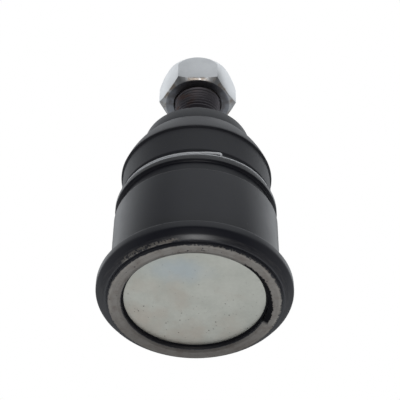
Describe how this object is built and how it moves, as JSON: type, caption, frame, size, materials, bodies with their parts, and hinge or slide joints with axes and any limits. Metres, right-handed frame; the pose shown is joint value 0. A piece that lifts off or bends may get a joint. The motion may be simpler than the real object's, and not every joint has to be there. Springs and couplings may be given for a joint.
{
  "type": "press-in suspension ball joint",
  "caption": "Press-in ball joint: flanged round housing with a crimped cover plate, rubber dust boot, tilting ball stud and hexagon nut.",
  "frame": {"origin": "centre of the crimped lip's bottom plane, which the joint stands on", "axes": "+Z along the housing and stud, from the cover plate to the nut; the nut's corners lie near the X axis"},
  "size_m": [0.061, 0.061, 0.109],
  "materials": {
    "black_housing": "semi-gloss black coating",
    "zinc_plate": "zinc plated, satin",
    "black_rubber": "satin",
    "spring_steel": "oiled",
    "bearing_plastic": "moulded",
    "dark_steel": "phosphated",
    "bright_wire": "drawn"
  },
  "bodies": {
    "housing": {"housing": "black_housing", "end_cap": "zinc_plate", "cap_seal": "black_rubber", "preload_spring": "spring_steel", "bearing_lower": "bearing_plastic", "bearing_upper": "bearing_plastic", "boot_wire_ring": "bright_wire"},
    "swing": {"boot": "black_rubber"},
    "tilt": {"boot_neck_ring": "bright_wire"},
    "stud": {"ball_stud": "dark_steel"},
    "nut": {"hex_nut": "zinc_plate"}
  },
  "joints": [
    {"name": "swing_direction", "type": "hinge", "parent": "housing", "child": "swing", "pos_m": [0, 0, 0.024], "axis": [0, 0, 1], "continuous": true},
    {"name": "stud_tilt", "type": "hinge", "parent": "swing", "child": "tilt", "pos_m": [0, 0, 0.024], "axis": [1, 0, 0], "range_deg": [-22, 22], "deforming": ["boot"]},
    {"name": "stud_spin", "type": "hinge", "parent": "tilt", "child": "stud", "pos_m": [0, 0, 0.024], "axis": [0, 0, 1], "continuous": true},
    {"name": "nut_travel", "type": "slide", "parent": "stud", "child": "nut", "axis": [0, 0, 1], "range_m": [-0.009, 0.016]}
  ]
}
